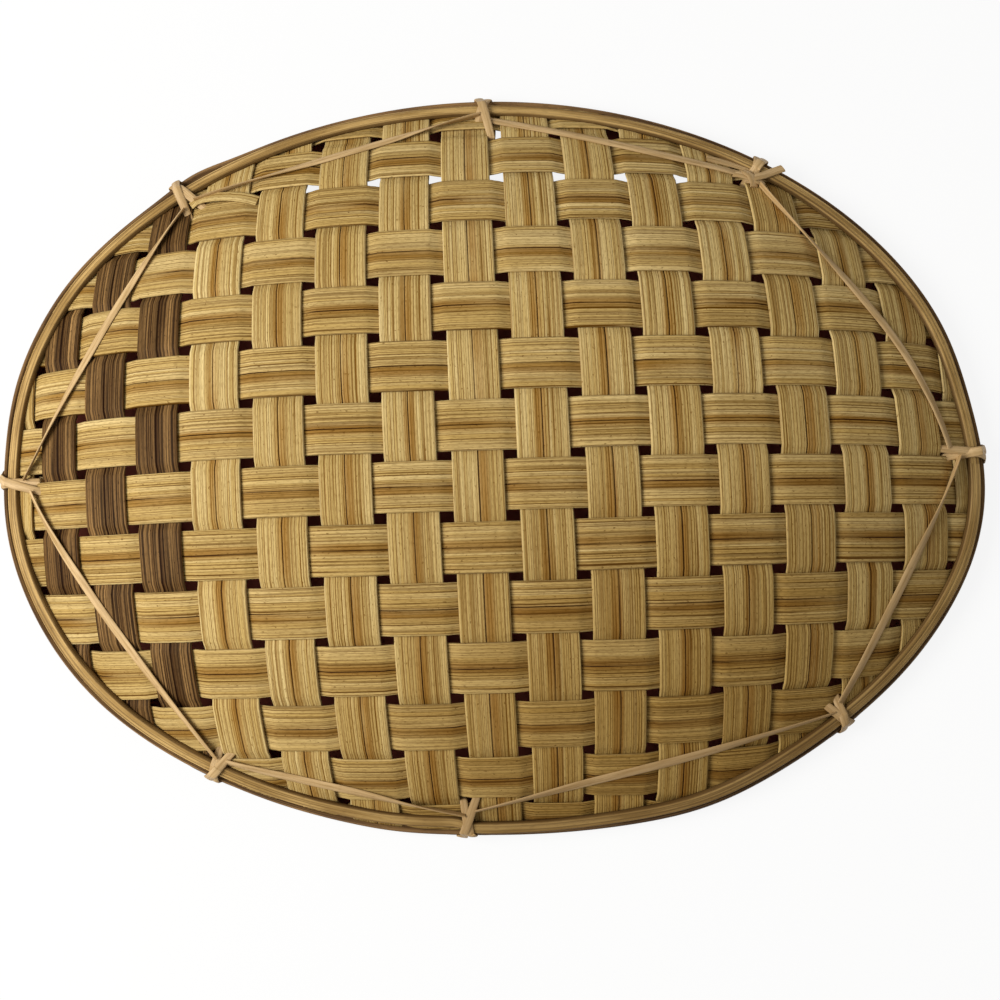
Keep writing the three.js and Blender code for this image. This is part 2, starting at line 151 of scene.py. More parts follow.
def domePoint(x, y):
    r = max(ovalRadius(x, y), tiny)
    z = gripHeight + bowl["rise"] * (1 - r ** bowl["roundness"])
    k = steepness * r ** (bowl["roundness"] - 2)
    normal = Vector((k * x / halfLength ** 2, k * y / halfWidth ** 2, 1)).normalized()
    return Vector((x, y, z)), normal


def arcTo(reach, half):  # length along the dome from the middle out to reach
    steps = 200
    arc = 0
    for i in range(steps):
        t = (i + 0.5) / steps * reach / half
        slope = steepness / half * t ** (bowl["roundness"] - 1)
        arc += math.hypot(1, slope) * reach / steps
    return arc


def rimFrame(angle, along=0):
    start = math.radians(angle)
    a, b = halfLength, halfWidth
    phi = start + along / math.hypot(a * math.sin(start), b * math.cos(start))
    x, y = a * math.cos(phi), b * math.sin(phi)
    out = Vector((x / a ** 2, y / b ** 2, 0))
    slope = math.atan(steepness * out.length)
    return {"x": x, "y": y, "phi": phi, "out": out.normalized(), "slope": slope}


def onWall(rim, s, h):
    n = s * math.cos(rim["slope"]) + h * math.sin(rim["slope"])
    z = gripHeight - s * math.sin(rim["slope"]) + h * math.cos(rim["slope"])
    return n, z


def placeOnRim(rim, n, z):
    return Vector((rim["x"], rim["y"], z)) + rim["out"] * n


# Where the hand-bent rim leaves the true oval: angle, spread in degrees, way out
handBend = {
    "places": [(-141, 17, 2.0 * mm), (-90, 17, -2.0 * mm), (-64, 9, 1.4 * mm), (-12, 12, 1.25 * mm),
               (11, 10, -1.35 * mm), (112, 26, -0.9 * mm), (157, 20, -0.6 * mm), (179, 12, -1.8 * mm),
               (85, 30, 0.5 * mm), (-42, 10, -0.5 * mm), (150, 8, 0.5 * mm), (-100, 6, 0.5 * mm)],
    "inset": -0.5 * mm,
    "fade": 8,  # how fast the bends die away in from the rim
}


def turnFrom(angle, place):
    return (angle - place + 180) % 360 - 180


def bendByHand(mesh):
    flat = np.empty(len(mesh.vertices) * 3)
    mesh.vertices.foreach_get("co", flat)
    points = flat.reshape(-1, 3)
    x, y = points[:, 0] / halfLength, points[:, 1] / halfWidth
    angle = np.degrees(np.arctan2(y, x))
    way = np.full(len(points), handBend["inset"])
    for place, spread, amount in handBend["places"]:
        way += amount * np.exp(-(turnFrom(angle, place) / spread) ** 2)
    way *= np.minimum(np.hypot(x, y), 1) ** handBend["fade"]
    outX, outY = x / halfLength, y / halfWidth
    size = np.maximum(np.hypot(outX, outY), tiny)
    points[:, 0] += way * outX / size
    points[:, 1] += way * outY / size
    mesh.vertices.foreach_set("co", points.ravel())
    mesh.update()


# Rings of points to a mesh, with a UV map in metres
def meshFromRings(name, rings, uvOf, isLoop=False):
    count, sides = len(rings), len(rings[0])
    faces, uvs = [], []
    for i in range(count if isLoop else count - 1):
        for k in range(sides):
            corners = [(i, k), (i + 1, k), (i + 1, k + 1), (i, k + 1)]
            faces.append([(a % count) * sides + b % sides for a, b in corners])
            uvs.extend(uvOf(a, b) for a, b in corners)
    if not isLoop:
        faces.append(list(range(sides)))
        uvs.extend(uvOf(0, k) for k in range(sides))
        faces.append([(count - 1) * sides + k for k in reversed(range(sides))])
        uvs.extend(uvOf(count - 1, k) for k in reversed(range(sides)))
    mesh = bpy.data.meshes.new(name)
    mesh.from_pydata([p for ring in rings for p in ring], [], faces)
    layer = mesh.uv_layers.new(name="laid")
    layer.data.foreach_set("uv", [value for uv in uvs for value in uv])
    return mesh


def faceOutward(mesh):
    shape = bmesh.new()
    shape.from_mesh(mesh)
    bmesh.ops.recalc_face_normals(shape, faces=shape.faces)
    if shape.calc_volume(signed=True) < 0:
        bmesh.ops.reverse_faces(shape, faces=shape.faces)
    shape.to_mesh(mesh)
    shape.free()


# Runs a tree on a base mesh and keeps the plain result
def runTree(name, baseMesh, tree, values):
    piece = addObject(name, baseMesh)
    modifier = piece.modifiers.new("nodes", "NODES")
    modifier.node_group = tree
    for item in tree.interface.items_tree:
        if item.in_out == "INPUT" and item.name in values:
            modifier[item.identifier] = values[item.name]
    bpy.context.view_layer.update()
    graph = bpy.context.evaluated_depsgraph_get()
    result = bpy.data.meshes.new_from_object(piece.evaluated_get(graph))
    piece.modifiers.clear()
    piece.data = result
    result.name = name
    faceOutward(result)
    for polygon in result.polygons:
        polygon.use_smooth = True
    return piece


def startTree(name, sizes):
    tree = bpy.data.node_groups.new(name, "GeometryNodeTree")
    tree.interface.new_socket("Geometry", in_out="OUTPUT", socket_type="NodeSocketGeometry")
    for kind in ("Geometry", "Material"):
        tree.interface.new_socket(kind, in_out="INPUT", socket_type=f"NodeSocket{kind}")
    for size in sizes:
        tree.interface.new_socket(size, in_out="INPUT", socket_type="NodeSocketFloat")
    return tree, addNode(tree, "NodeGroupInput")


def endTree(tree, source, geometry):
    whole = addNode(tree, "GeometryNodeRealizeInstances", {}, {"Geometry": geometry})[0]
    painted = addNode(tree, "GeometryNodeSetMaterial", {},
                      {"Geometry": whole, "Material": source["Material"]})[0]
    addNode(tree, "NodeGroupOutput", {}, {"Geometry": painted})
    return tree


# A tree that moves each point starts with its sizes and the point's own place, under the names given
def startMove(name, sizes, axes):
    tree, source = startTree(name, sizes)
    at = addNode(tree, "GeometryNodeInputPosition")[0]
    parts = addNode(tree, "ShaderNodeSeparateXYZ", {}, {0: at})
    values = {size: source[size] for size in sizes}
    values.update(zip(axes, parts))
    return tree, source, values


def endMove(tree, source, place):
    moved = addNode(tree, "GeometryNodeSetPosition", {},
                    {"Geometry": source["Geometry"], "Position": place})[0]
    return endTree(tree, source, moved)


# Weave: split strips laid over and under, flat sizes in the weave's own u and v
weave = {
    "crossWidth": 17.2 * mm, "crossGap": 4.45 * mm, "crossNumbers": (-9, 7),
    "smokedWidth": 15.5 * mm, "smokedGap": 4.34 * mm, "smokedNumbers": (-8, -6),
    "longWidth": 16.9 * mm, "longGap": 2.93 * mm, "longNumbers": (-7, 6),
    "lastNarrower": 2.2 * mm,  # how much the strip along the back edge was split down
    "widthSpread": (0.975, 1.02),
    "thickness": 0.8 * mm, "layerOffset": 0.55 * mm, "arch": 0.18 * mm,
    "crown": 0.07 * mm, "ridge": 0.05 * mm,
    "shiftX": 8.5 * mm, "shiftY": -1.42 * mm, "turn": math.radians(1.95), "slant": math.radians(1.2),
    "reach": 1.6 * mm,  # how far the ends go past the rim's oval
    "leastLength": 9 * mm, "edgeTries": 80, "stationStep": 1.5 * mm, "leastStations": 24,
    # the rounded edge's way in and share of the half thickness, above and below, and the fibres' places
    "edge": [(0, -0.35), (0.04 * mm, 0.35), (0.2 * mm, 0.8)],
    "under": [(0.15 * mm, -0.9), (0.6 * mm, -1)],
    "ribs": [0.03, 0.08, 0.15, 0.23, 0.31, 0.39, 0.47, 0.55, 0.63, 0.71, 0.79, 0.87, 0.94],
    "crackWidth": 0.3 * mm, "crackDepth": 0.36 * mm, "crackWander": 0.22 * mm,
    "crackOpen": 0.65, "crackSpread": 0.6, "crackLeast": 0.05,
    "crackClear": 2 * mm,  # a strip split narrower than this on one side has no crack
    "sideSway": 0.35 * mm,
    # longest and shortest wave of each
    "ridgeWave": (160 * mm, 50 * mm), "crackWave": (300 * mm, 90 * mm), "openWave": (140 * mm, 40 * mm),
    "sideWave": (320 * mm, 160 * mm),
    "seed": 7,
}
crossPitch = weave["crossWidth"] + weave["crossGap"]
smokedPitch = weave["smokedWidth"] + weave["smokedGap"]
longPitch = weave["longWidth"] + weave["longGap"]
smokedFirst, smokedLast = weave["smokedNumbers"]
smokedEdge = (smokedLast + 1) * crossPitch + weave["shiftX"]
farEdge = smokedEdge - (smokedLast - smokedFirst + 1) * smokedPitch


def crossMiddle(index):
    if index > smokedLast:
        return (index + 0.5) * crossPitch + weave["shiftX"]
    if index < smokedFirst:
        return farEdge - (smokedFirst - index - 0.5) * crossPitch
    return smokedEdge - (smokedLast - index + 0.5) * smokedPitch


def listStrips():
    strips = []
    for family, numbers in (("crosswise", weave["crossNumbers"]), ("lengthwise", weave["longNumbers"])):
        first, last = numbers
        isCross = family == "crosswise"
        for index in range(first, last + 1):
            isSmoked = isCross and smokedFirst <= index <= smokedLast
            kind = "smoked" if isSmoked else "cross" if isCross else "long"
            narrower = weave["lastNarrower"] if index == last and not isCross else 0
            longMiddle = (index + 0.5) * longPitch + weave["shiftY"] + narrower / 2
            strips.append({
                "node": f"{family}_strip_{index - first + 1:02d}", "index": index, "isCross": isCross,
                "kind": kind, "middle": crossMiddle(index) if isCross else longMiddle,
                "width": weave[kind + "Width"] - narrower,
            })
    return strips


trimLength = arcTo(halfLength + weave["reach"], halfLength)
trimWidth = arcTo(halfWidth + weave["reach"], halfWidth)
turn, lean = weave["turn"], weave["turn"] + weave["slant"]
weaveU = Vector((math.cos(turn), math.sin(turn)))
weaveV = Vector((-math.sin(lean), math.cos(lean)))


# Where a line of the strip, a way across from its middle, meets the oval of the rim
def trimLine(strip, across):
    if strip["isCross"]:
        start, step = (strip["middle"] - across) * weaveU, weaveV
    else:
        start, step = (strip["middle"] + across) * weaveV, weaveU
    a = (step.x / trimLength) ** 2 + (step.y / trimWidth) ** 2
    b = start.x * step.x / trimLength ** 2 + start.y * step.y / trimWidth ** 2
    c = (start.x / trimLength) ** 2 + (start.y / trimWidth) ** 2 - 1
    root = b * b - a * c
    if root <= 0:
        return None
    root = math.sqrt(root)
    return (-b - root) / a, (-b + root) / a


def smoothWave(rng, longest, shortest):  # a slow seeded wave of about -1 to 1
    count, least = 3, 0.4
    waves = [(rng.uniform(shortest, longest), rng.uniform(0, fullTurn), rng.uniform(least, 1))
             for _ in range(count)]
    total = sum(size for length, phase, size in waves)
    return lambda x: sum(size * math.sin(fullTurn * x / length + phase)
                         for length, phase, size in waves) / total


# Flat closed strip: x along, y across, z through, with rounded edges and a crack along its middle
def stripMesh(strip):
    rng = random.Random(f"{weave['seed']} {strip['node']}")
    half = strip["width"] / 2 * rng.uniform(*weave["widthSpread"])
    kept = []
    for i in range(weave["edgeTries"] + 1):
        y = -half + 2 * half * i / weave["edgeTries"]
        line = trimLine(strip, y)
        if line and line[1] - line[0] > weave["leastLength"]:
            kept.append(y)
    low, high = kept[0], kept[-1]
    hasCrack = low < -weave["crackClear"] and high > weave["crackClear"]
    t = weave["thickness"] / 2
    groove = weave["crackWidth"] / 2
    top = [(low + way, share * t) for way, share in weave["edge"]]
    if hasCrack:
        top += [(low * (1 - f), t) for f in weave["ribs"]]
        top += [(-groove, t), (0, t - weave["crackDepth"]), (groove, t)]
        top += [(high * (1 - f), t) for f in reversed(weave["ribs"])]
        middles = [high * 0.5, 0.5 * (low + high), low * 0.5]
    else:
        top += [(low + (high - low) * f, t) for f in weave["ribs"]]
        middles = [low + (high - low) * f for f in (0.75, 0.5, 0.25)]
    top += [(high - way, share * t) for way, share in reversed(weave["edge"])]
    bottom = [(high - way, share * t) for way, share in weave["under"]]
    bottom += [(y, -t) for y in middles]
    bottom += [(low + way, share * t) for way, share in reversed(weave["under"])]
    profile = top + bottom
    ridges = [smoothWave(rng, *weave["ridgeWave"]) for _ in top]
    crackWay, crackOpen, sideWay = [smoothWave(rng, *weave[key])
                                    for key in ("crackWave", "openWave", "sideWave")]
    lines = [trimLine(strip, y) for y, z in profile]
    longest = max(end - start for start, end in lines)
    count = max(weave["leastStations"], round(longest / weave["stationStep"]))
    apart = 4 * strip["index"] + (2 if strip["isCross"] else 0)  # keeps the strips' patterns apart
    faceFrom = 0.7 * t  # points above this lie on the strip's face
    rings, places = [], []
    for i in range(count + 1):
        ring, place = [], []
        for k, (y, z) in enumerate(profile):
            start, end = lines[k]
            x = start + (end - start) * i / count
            share = 1 - abs(y / (high if y > 0 else low)) if hasCrack else 0
            crack = weave["crackWander"] * crackWay(x) * share
            if z > faceFrom:
                z += weave["ridge"] * ridges[k](x) + weave["crown"] * (1 - (y / half) ** 2)
            if hasCrack and y == 0 and k < len(top):
                opened = weave["crackOpen"] + weave["crackSpread"] * crackOpen(x)
                z = t + weave["crown"] - weave["crackDepth"] * min(max(opened, weave["crackLeast"]), 1)
            ring.append((x, y + crack + weave["sideSway"] * sideWay(x), z))
            place.append((x + apart, y))
        rings.append(ring)
        places.append(place)
    return meshFromRings(strip["node"], rings, lambda i, k: places[i][k % len(profile)])


weaveSizes = {
    "Half Length": halfLength, "Half Width": halfWidth, "Rise": bowl["rise"], "Roundness": bowl["roundness"],
    "Grip Height": gripHeight, "Cross Pitch": crossPitch, "Smoked Pitch": smokedPitch,
    "Long Pitch": longPitch, "Smoked Edge": smokedEdge, "Far Edge": farEdge,
    "Shift X": weave["shiftX"], "Shift Y": weave["shiftY"], "Turn": weave["turn"], "Slant": weave["slant"],
    "Layer Offset": weave["layerOffset"], "Arch": weave["arch"],
}


# Tree that lays a flat strip over and under its neighbours and onto the bowl
def makeWeaveTree():
    sizes = [*weaveSizes, "Crosswise", "Strip Number", "Strip Middle", "Open Share"]
    tree, source, values = startMove("layOnBowl", sizes, ("x", "y", "z"))
    rows = [
        # place in the flat weave
        ("uCross", "SUBTRACT", "Strip Middle", "y"), ("uStep", "SUBTRACT", "uCross", "x"),
        ("u", "MULTIPLY_ADD", "uStep", "Crosswise", "x"),
        ("vLong", "ADD", "Strip Middle", "y"), ("vStep", "SUBTRACT", "x", "vLong"),
        ("v", "MULTIPLY_ADD", "vStep", "Crosswise", "vLong"),
        # number of the crossing and the way through it
        ("vFree", "SUBTRACT", "v", "Shift Y"), ("row", "DIVIDE", "vFree", "Long Pitch"),
        ("uNear", "MAXIMUM", "u", "Smoked Edge"), ("nearFree", "SUBTRACT", "uNear", "Shift X"),
        ("near", "DIVIDE", "nearFree", "Cross Pitch"),
        ("uHigh", "MAXIMUM", "u", "Far Edge"), ("uSmoked", "MINIMUM", "uHigh", "Smoked Edge"),
        ("smokedFree", "SUBTRACT", "uSmoked", "Smoked Edge"),
        ("smoked", "DIVIDE", "smokedFree", "Smoked Pitch"),
        ("uFar", "MINIMUM", "u", "Far Edge"), ("farFree", "SUBTRACT", "uFar", "Far Edge"),
        ("far", "DIVIDE", "farFree", "Cross Pitch"),
        ("twoColumns", "ADD", "near", "smoked"), ("column", "ADD", "twoColumns", "far"),
        ("crossStep", "SUBTRACT", "row", "column"),
        ("crossing", "MULTIPLY_ADD", "crossStep", "Crosswise", "column"),
        ("number", "FLOOR", "crossing"), ("way", "SUBTRACT", "crossing", "number"),
        # over or under, sloping in the gaps and arched at each crossing
        ("sum", "ADD", "number", "Strip Number"), ("parity", "FLOORED_MODULO", "sum", 2.0),
        ("signCross", "MULTIPLY_ADD", "parity", -2.0, 1.0),
        ("family", "MULTIPLY_ADD", "Crosswise", 2.0, -1.0), ("sign", "MULTIPLY", "signCross", "family"),
        ("fromMiddle", "SUBTRACT", "way", 0.5), ("aside", "ABSOLUTE", "fromMiddle"),
        ("fromGap", "SUBTRACT", 0.5, "aside"), ("rampWay", "DIVIDE", "fromGap", "Open Share"),
        ("ramp", "MINIMUM", "rampWay", 1.0), ("rampTurn", "MULTIPLY_ADD", "ramp", -2.0, 3.0),
        ("rampSquare", "MULTIPLY", "ramp", "ramp"), ("step", "MULTIPLY", "rampSquare", "rampTurn"),
        ("stepLift", "MULTIPLY", "step", "Layer Offset"),
        ("wayLeft", "SUBTRACT", 1.0, "way"), ("bow", "MULTIPLY", "way", "wayLeft"),
        ("bowFull", "MULTIPLY", "bow", 4.0), ("lift", "MULTIPLY_ADD", "bowFull", "Arch", "stepLift"),
        ("level", "MULTIPLY_ADD", "lift", "sign", "z"),
        # flat place turned and slanted
        ("lean", "ADD", "Turn", "Slant"), ("cosTurn", "COSINE", "Turn"), ("sinTurn", "SINE", "Turn"),
        ("cosLean", "COSINE", "lean"), ("sinLean", "SINE", "lean"),
        ("xv", "MULTIPLY", "v", "sinLean"), ("xu", "MULTIPLY", "u", "cosTurn"),
        ("flatX", "SUBTRACT", "xu", "xv"), ("yv", "MULTIPLY", "v", "cosLean"),
        ("flatY", "MULTIPLY_ADD", "u", "sinTurn", "yv"),
        # its distance and direction, and how steep the bowl is that way
        ("flatXX", "MULTIPLY", "flatX", "flatX"), ("flatSquare", "MULTIPLY_ADD", "flatY", "flatY", "flatXX"),
        ("flatRoot", "SQRT", "flatSquare"), ("flat", "MAXIMUM", "flatRoot", tiny),
        ("dx", "DIVIDE", "flatX", "flat"), ("dy", "DIVIDE", "flatY", "flat"),
        ("ex", "DIVIDE", "dx", "Half Length"), ("ey", "DIVIDE", "dy", "Half Width"),
        ("exx", "MULTIPLY", "ex", "ex"), ("stretchSquare", "MULTIPLY_ADD", "ey", "ey", "exx"),
        ("stretch", "SQRT", "stretchSquare"), ("steep", "MULTIPLY", "Rise", "Roundness"),
        ("steepHere", "MULTIPLY", "steep", "stretch"), ("power", "SUBTRACT", "Roundness", 1.0),
        ("first", "MULTIPLY_ADD", "Roundness", 4.0, -2.0),
        ("second", "MULTIPLY_ADD", "Roundness", 32.0, -24.0),
        ("third", "MULTIPLY_ADD", "Roundness", 96.0, -80.0), ("reach", "MULTIPLY", "flat", 0.95),
    ]
    reachTurn = [  # the reach over the ground that gives this length along the bowl
        ("rho", "MULTIPLY", "reach", "stretch"), ("rhoPower", "POWER", "rho", "power"),
        ("slope", "MULTIPLY", "rhoPower", "steepHere"), ("slope2", "MULTIPLY", "slope", "slope"),
        ("slope4", "MULTIPLY", "slope2", "slope2"), ("slope6", "MULTIPLY", "slope4", "slope2"),
        ("term1", "DIVIDE", "slope2", "first"), ("term2", "DIVIDE", "slope4", "second"),
        ("term3", "DIVIDE", "slope6", "third"), ("twoTerms", "SUBTRACT", "term1", "term2"),
        ("terms", "ADD", "twoTerms", "term3"), ("longer", "ADD", "terms", 1.0),
        ("reach", "DIVIDE", "flat", "longer"),
    ]
    reachTurns = 5  # rounds until it no longer changes
    ending = [
        ("X", "MULTIPLY", "dx", "reach"), ("Y", "MULTIPLY", "dy", "reach"),
        ("rho", "MULTIPLY", "reach", "stretch"), ("drop", "POWER", "rho", "Roundness"),
        ("kept", "SUBTRACT", 1.0, "drop"), ("Z", "MULTIPLY_ADD", "kept", "Rise", "Grip Height"),
        ("bend", "SUBTRACT", "Roundness", 2.0), ("rhoBend", "POWER", "rho", "bend"),
        ("pull", "MULTIPLY", "rhoBend", "steep"),
        ("length2", "MULTIPLY", "Half Length", "Half Length"),
        ("width2", "MULTIPLY", "Half Width", "Half Width"),
        ("pullX", "MULTIPLY", "pull", "X"), ("nx", "DIVIDE", "pullX", "length2"),
        ("pullY", "MULTIPLY", "pull", "Y"), ("ny", "DIVIDE", "pullY", "width2"),
        ("normal", "COMBINE", "nx", "ny", 1.0), ("unit", "NORMALIZE", "normal"),
        ("onBowl", "COMBINE", "X", "Y", "Z"),
    ]
    workOut(tree, values, rows + reachTurn * reachTurns + ending)
    lifted = addNode(tree, "ShaderNodeVectorMath", {"operation": "SCALE"},
                     {0: values["unit"], "Scale": values["level"]})[0]
    place = addNode(tree, "ShaderNodeVectorMath", {"operation": "ADD"}, {0: values["onBowl"], 1: lifted})[0]
    return endMove(tree, source, place)


def startMaterial(name):
    material = bpy.data.materials.new(name)
    material.use_nodes = True
    material.node_tree.nodes.clear()
    return material, material.node_tree


# Painted shade over the front right of the tray, standing in for a shadow there: its middle, and how far from
# it the cane is still darkened
paintedShadeSide = {"at": (75 * mm, -130 * mm, 0), "full": 47.5 * mm, "reach": 190 * mm}


# Cane laid along the piece's own map, with noises: length and width in mm, and detail
def startCane(name, noises):
    material, tree = startMaterial(name)
    laid = addNode(tree, "ShaderNodeUVMap", {"uv_map": "laid"})[0]
    parts = addNode(tree, "ShaderNodeSeparateXYZ", {}, {0: laid})
    place = addNode(tree, "ShaderNodeTexCoord")["Object"]
    values = {"along": parts[0], "across": parts[1], "place": place}
    workOut(tree, values, [("aside", "ABSOLUTE", "across"),
                           ("fromPaintedShade", "DISTANCE", "place", paintedShadeSide["at"])])
    for key, (length, width, detail) in noises.items():
        at = addNode(tree, "ShaderNodeMapping", {"vector_type": "POINT"},
                     {"Vector": laid, "Scale": (1 / (length * mm), 1 / (width * mm), 1)})[0]
        values[key] = addNode(tree, "ShaderNodeTexNoise", {"noise_dimensions": "2D"},
                              {"Vector": at, "Scale": 1, "Detail": detail})["Fac"]
    return material, tree, values


# Masks from ranges of the values: low, high and the mask at each. Tints are laid one over another by mask
def endCane(tree, values, look, finish):
    for key, (value, low, high, first, last) in finish["ranges"].items():
        values[key] = addNode(tree, "ShaderNodeMapRange", {"interpolation_type": "SMOOTHSTEP"}, {
            "Value": values[value], "From Min": low, "From Max": high, "To Min": first, "To Max": last,
        })[0]
    workOut(tree, values, finish["formulas"])
    paint = colour(look["pale"])
    for mask, tint, *blend in finish["layers"]:
        blendType = blend[0] if blend else "MIX"
        paint = addNode(tree, "ShaderNodeMix", {"data_type": "RGBA", "blend_type": blendType},
                        {0: values[mask], 6: paint, 7: colour(look[tint])})[2]
    relief = addNode(tree, "ShaderNodeBump", {}, {**finish["bump"], "Height": values[finish["height"]]})[0]
    skin = addNode(tree, "ShaderNodeBsdfPrincipled", {},
                   {**finish["surface"], "Base Color": paint, "Normal": relief})[0]
    addNode(tree, "ShaderNodeOutputMaterial", {}, {"Surface": skin})


# Split cane strip: pale straw fibres side by side, thin dark lines between them, a browner middle, the crack
# where the strip was split and a band along both edges, a painted highlight on the natural strips and darker
# on the smoked ones
stripLook = {
    "column": {
        "pale": "#D5BC81", "straw": "#B6985A", "line": "#6A4408", "band": "#8E5F18", "crack": "#2A0E00",
        "edge": "#D8C594", "bandStrength": 0.7, "lineLeast": 0.2, "crackLeast": 0.75,
        "crackHalf": 0.22 * mm, "fibreWidth": 0.98 * mm, "lineHalf": 0.17 * mm,
    },
    "row": {
        "pale": "#D4B97E", "straw": "#B29253", "line": "#563504", "band": "#805510", "crack": "#2A0E00",
        "edge": "#D4BE8A", "bandStrength": 0.76, "lineLeast": 0.3, "crackLeast": 0.3,
        "crackHalf": 0.22 * mm, "fibreWidth": 1.15 * mm, "lineHalf": 0.19 * mm,
    },
    "smoked": {
        "pale": "#A07A49", "straw": "#573C1E", "line": "#190B02", "band": "#402810", "crack": "#1C0A00",
        "edge": "#86642F", "bandStrength": 0.55, "lineLeast": 0.75, "crackLeast": 0.85,
        "crackHalf": 0.55 * mm, "fibreWidth": 1.2 * mm, "lineHalf": 0.29 * mm,
    },
    "noises": {
        "sway": (1000 / 6, 1000 / 30, 1), "spacing": (1000, 2.5, 1), "fade": (35, 1.1, 1),
        "fine": (1000 / 9, 0.36, 3), "grain": (2.2, 0.36, 2), "tone": (45, 6, 2), "slow": (250, 80, 1),
        "patch": (35, 50, 2), "speck": (1.6, 0.9, 1),
    },
    # the first colour below is the tint of the painted shade over the front right of the tray
    "shadeTint": "#CFC4AC", "bandHalf": 1.9 * mm, "bandAside": 2.6 * mm, "edgeFrom": 7.9 * mm, "edgeTo": 8.3 * mm,
    "lineDip": -0.7,
    "surface": {"IOR": 1.45, "Specular IOR Level": 0.055}, "roughness": (0.5, 0.66),
    "bump": {"Strength": 0.6, "Distance": 0.12 * mm},
}


def makeStripMaterial(name, look):
    material, tree, values = startCane(name, stripLook["noises"])
    perFibre = 1 / look["fibreWidth"]
    lineHalf, crackHalf = look["lineHalf"] * perFibre, look["crackHalf"]
    bandHalf, bandAside = stripLook["bandHalf"], stripLook["bandAside"]
    workOut(tree, values, [
        ("strip", "ROUND", "along"), ("swayed", "SUBTRACT", "sway", 0.5),
        ("spaced", "MULTIPLY_ADD", "spacing", 2.0, "swayed"),
        ("lines", "MULTIPLY_ADD", "across", perFibre, "spaced"), ("fibre", "FLOOR", "lines"),
        ("lineNumber", "ROUND", "lines"), ("pastLine", "SUBTRACT", "lines", "lineNumber"),
        ("fromLine", "ABSOLUTE", "pastLine"),
        ("fibreAt", "COMBINE", "fibre", "strip"), ("lineAt", "COMBINE", "lineNumber", "strip"),
    ])
    values["stripTone"] = addNode(tree, "ShaderNodeTexWhiteNoise", {"noise_dimensions": "1D"},
                                  {"W": values["strip"]})["Value"]
    workOut(tree, values, [
        ("bandPlace", "MULTIPLY_ADD", "stripTone", bandAside, -0.65 * bandAside),
        ("pastBand", "SUBTRACT", "across", "bandPlace"), ("fromBand", "ABSOLUTE", "pastBand"),
    ])
    for key, at in (("fibreTone", "fibreAt"), ("lineTone", "lineAt")):
        values[key] = addNode(tree, "ShaderNodeTexWhiteNoise", {"noise_dimensions": "2D"},
                              {"Vector": values[at]})["Value"]
    smooth, dry = stripLook["roughness"]
    rough = addNode(tree, "ShaderNodeMapRange", {}, {
        "Value": values["fine"], "From Min": 0.3, "From Max": 0.7, "To Min": smooth, "To Max": dry,
    })[0]
    endCane(tree, values, {**look, "shadeTint": stripLook["shadeTint"]}, {
        "ranges": {
            "toneMix": ("tone", 0.35, 0.65, 0, 0.5), "fibreMix": ("fibreTone", 0, 1, 0, 0.9),
            "slowMix": ("slow", 0.35, 0.7, 0, 0.5),
            # painted shade over the front right, full near its middle
            "paintedShadeMix": ("fromPaintedShade", paintedShadeSide["full"], paintedShadeSide["reach"], 1, 0),
            "lineNear": ("fromLine", 0.3 * lineHalf, 1.4 * lineHalf, 1, 0),
            "lineFade": ("fade", 0.32, 0.6, 0.35, 1), "lineShare": ("lineTone", 0.1, 1, look["lineLeast"], 1),
            "fineMix": ("fine", 0.48, 0.62, 0, 0.55), "grainMix": ("grain", 0.48, 0.7, 0, 0.3),
            "bandNear": ("fromBand", 0.3 * bandHalf, 1.5 * bandHalf, look["bandStrength"], 0),
            "bandPatch": ("patch", 0.3, 0.6, 0.55, 1),
            "crackNear": ("aside", 0.35 * crackHalf, 1.15 * crackHalf, 1, 0),
            "crackPatch": ("patch", 0.42, 0.55, look["crackLeast"], 1),
            # the band along both edges: paler as a painted highlight on the natural strips, darker on the
            # smoked ones
            "edgeNear": ("aside", stripLook["edgeFrom"], stripLook["edgeTo"], 0, 0.18),
            "speckMix": ("speck", 0.74, 0.8, 0, 0.6),
        },
        "formulas": [
            ("lineSeen", "MULTIPLY", "lineNear", "lineFade"),
            ("lineMix", "MULTIPLY", "lineSeen", "lineShare"),
            ("bandMix", "MULTIPLY", "bandNear", "bandPatch"),
            ("crackMix", "MULTIPLY", "crackNear", "crackPatch"),
            ("dips", "MULTIPLY_ADD", "lineNear", stripLook["lineDip"], "fine"),
        ],
        "layers": [("fibreMix", "straw"), ("toneMix", "straw"), ("slowMix", "straw"), ("bandMix", "band"),
                   ("fineMix", "line"), ("grainMix", "line"), ("edgeNear", "edge"), ("lineMix", "line"),
                   # last, the painted shade over the front right darkens everything beneath it
                   ("speckMix", "line"), ("crackMix", "crack"), ("paintedShadeMix", "shadeTint", "MULTIPLY")],
        "height": "dips", "bump": stripLook["bump"], "surface": {**stripLook["surface"], "Roughness": rough},
    })
    return material


